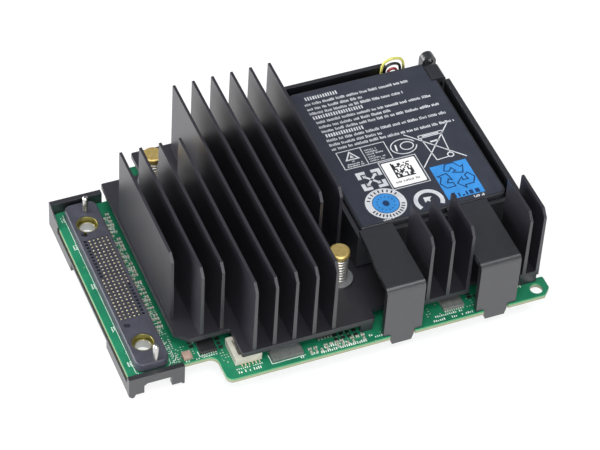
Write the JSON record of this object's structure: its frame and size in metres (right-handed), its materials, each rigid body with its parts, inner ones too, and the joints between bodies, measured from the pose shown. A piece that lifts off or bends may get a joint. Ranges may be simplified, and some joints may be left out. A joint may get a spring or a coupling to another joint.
{
  "type": "raid controller card",
  "caption": "Storage controller mezzanine card with a tall black finned heatsink, an edge tab connector and a backup battery in a clip-on cradle.",
  "frame": {"origin": "axis of the front bushing of the connector, at the board's top face", "axes": "+X along the board's long edge away from the connector, +Y towards the edge with the battery leads, +Z out of the board's component face"},
  "size_m": [0.1216, 0.0861, 0.0356],
  "materials": {
    "board_green": "satin solder mask",
    "black_metal": "satin black anodised",
    "grey_plastic": "matte",
    "connector_plastic": "matte",
    "contact_gold": "bright",
    "bushing_brass": "satin",
    "steel": "satin",
    "spring_steel": "bright",
    "chip_black": "matte",
    "chip_lid": "satin",
    "thermal_pad": "matte",
    "battery_wrap": "satin",
    "label_film": "satin",
    "white_paper": "matte",
    "wire_yellow": "satin",
    "wire_black": "satin",
    "wire_red": "satin",
    "plug_cream": "satin",
    "inductor_grey": "matte",
    "ceramic_tan": "satin"
  },
  "bodies": {
    "root": {"battery_cradle": "grey_plastic", "battery_label": "label_film", "battery_lead_black": "wire_black", "battery_lead_red": "wire_red", "battery_lead_yellow": "wire_yellow", "battery_pack": "battery_wrap", "battery_plug": "plug_cream", "battery_socket": "plug_cream", "bushing_back": "bushing_brass", "bushing_front": "bushing_brass", "carrier_frame": "grey_plastic", "ceramic_capacitors": "ceramic_tan", "circuit_board": "board_green", "code_sticker": "white_paper", "connector_pins": "contact_gold", "flash_chip": "chip_black", "front_header": "plug_cream", "guide_pin_back": "steel", "guide_pin_front": "steel", "header_contacts": "contact_gold", "heatsink": "black_metal", "logic_chip": "chip_black", "memory_chip_1": "chip_black", "memory_chip_2": "chip_black", "memory_chip_3": "chip_black", "memory_chip_4": "chip_black", "memory_chip_5": "chip_black", "memory_pad_1": "thermal_pad", "memory_pad_2": "thermal_pad", "memory_pad_3": "thermal_pad", "memory_pad_4": "thermal_pad", "memory_pad_5": "thermal_pad", "mezzanine_connector": "connector_plastic", "power_inductor": "inductor_grey", "processor_chip": "chip_lid", "processor_pad": "thermal_pad", "regulator_chip": "chip_black", "screw_nuts": "steel", "screw_spring_back": "spring_steel", "screw_spring_front": "spring_steel", "spring_screws": "bushing_brass", "underside_capacitors": "ceramic_tan"}
  },
  "joints": []
}
